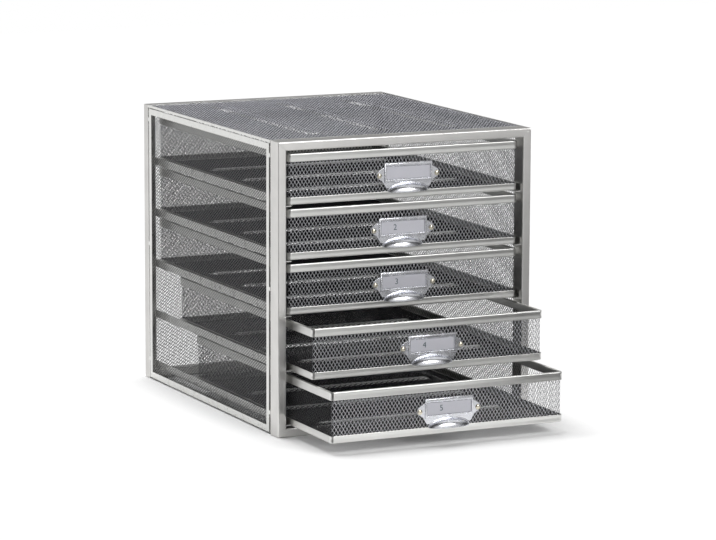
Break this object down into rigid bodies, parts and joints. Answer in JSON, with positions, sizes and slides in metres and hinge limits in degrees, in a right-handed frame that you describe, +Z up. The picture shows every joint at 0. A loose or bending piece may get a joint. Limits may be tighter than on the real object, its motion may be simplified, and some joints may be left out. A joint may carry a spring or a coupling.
{
  "type": "desk drawer storage box",
  "caption": "Free-standing desk-top drawer box of steel and expanded mesh; shallow sliding drawers with label-holder pulls.",
  "frame": {"origin": "middle of the underside of the front frame, on the plane the box stands on", "axes": "+Z up, +X to the right of a viewer facing the drawers, -Y the way the drawers open"},
  "size_m": [0.29, 0.4687, 0.305],
  "materials": {
    "frame_steel": "brushed along each member, clear-coated",
    "strip_steel": "bright rolled strip",
    "rim_steel": "folded strip, satin",
    "mesh_steel": "dull expanded mesh",
    "pull_steel": "smooth pressed sheet",
    "pale_brass": "pale, lacquered",
    "card_paper": "plain lilac-grey card"
  },
  "bodies": {
    "cabinet": {"front_frame": "frame_steel", "back_frame": "frame_steel", "left_side_frame": "strip_steel", "right_side_frame": "strip_steel", "left_side_mesh": "mesh_steel", "right_side_mesh": "mesh_steel", "top_rim": "strip_steel", "top_mesh": "mesh_steel", "back_mesh": "mesh_steel", "left_runner_1": "strip_steel", "right_runner_1": "strip_steel", "left_runner_2": "strip_steel", "right_runner_2": "strip_steel", "left_runner_3": "strip_steel", "right_runner_3": "strip_steel", "left_runner_4": "strip_steel", "right_runner_4": "strip_steel", "left_runner_5": "strip_steel", "right_runner_5": "strip_steel"},
    "drawer_1": {"drawer_1_wall_mesh": "mesh_steel", "drawer_1_floor_mesh": "mesh_steel", "drawer_1_top_rim": "rim_steel", "drawer_1_bottom_rim": "rim_steel", "drawer_1_pull": "pull_steel", "drawer_1_card": "card_paper", "drawer_1_left_rivet": "pale_brass", "drawer_1_right_rivet": "pale_brass"},
    "drawer_2": {"drawer_2_wall_mesh": "mesh_steel", "drawer_2_floor_mesh": "mesh_steel", "drawer_2_top_rim": "rim_steel", "drawer_2_bottom_rim": "rim_steel", "drawer_2_pull": "pull_steel", "drawer_2_card": "card_paper", "drawer_2_left_rivet": "pale_brass", "drawer_2_right_rivet": "pale_brass"},
    "drawer_3": {"drawer_3_wall_mesh": "mesh_steel", "drawer_3_floor_mesh": "mesh_steel", "drawer_3_top_rim": "rim_steel", "drawer_3_bottom_rim": "rim_steel", "drawer_3_pull": "pull_steel", "drawer_3_card": "card_paper", "drawer_3_left_rivet": "pale_brass", "drawer_3_right_rivet": "pale_brass"},
    "drawer_4": {"drawer_4_wall_mesh": "mesh_steel", "drawer_4_floor_mesh": "mesh_steel", "drawer_4_top_rim": "rim_steel", "drawer_4_bottom_rim": "rim_steel", "drawer_4_pull": "pull_steel", "drawer_4_card": "card_paper", "drawer_4_left_rivet": "pale_brass", "drawer_4_right_rivet": "pale_brass"},
    "drawer_5": {"drawer_5_wall_mesh": "mesh_steel", "drawer_5_floor_mesh": "mesh_steel", "drawer_5_top_rim": "rim_steel", "drawer_5_bottom_rim": "rim_steel", "drawer_5_pull": "pull_steel", "drawer_5_card": "card_paper", "drawer_5_left_rivet": "pale_brass", "drawer_5_right_rivet": "pale_brass"}
  },
  "joints": [
    {"name": "drawer_1_slide", "type": "slide", "parent": "cabinet", "child": "drawer_1", "axis": [0, -1, 0], "range_m": [0, 0.25]},
    {"name": "drawer_2_slide", "type": "slide", "parent": "cabinet", "child": "drawer_2", "axis": [0, -1, 0], "range_m": [0, 0.25]},
    {"name": "drawer_3_slide", "type": "slide", "parent": "cabinet", "child": "drawer_3", "axis": [0, -1, 0], "range_m": [0, 0.25]},
    {"name": "drawer_4_slide", "type": "slide", "parent": "cabinet", "child": "drawer_4", "axis": [0, -1, 0], "range_m": [-0.0594, 0.1906]},
    {"name": "drawer_5_slide", "type": "slide", "parent": "cabinet", "child": "drawer_5", "axis": [0, -1, 0], "range_m": [-0.1046, 0.1454]}
  ]
}
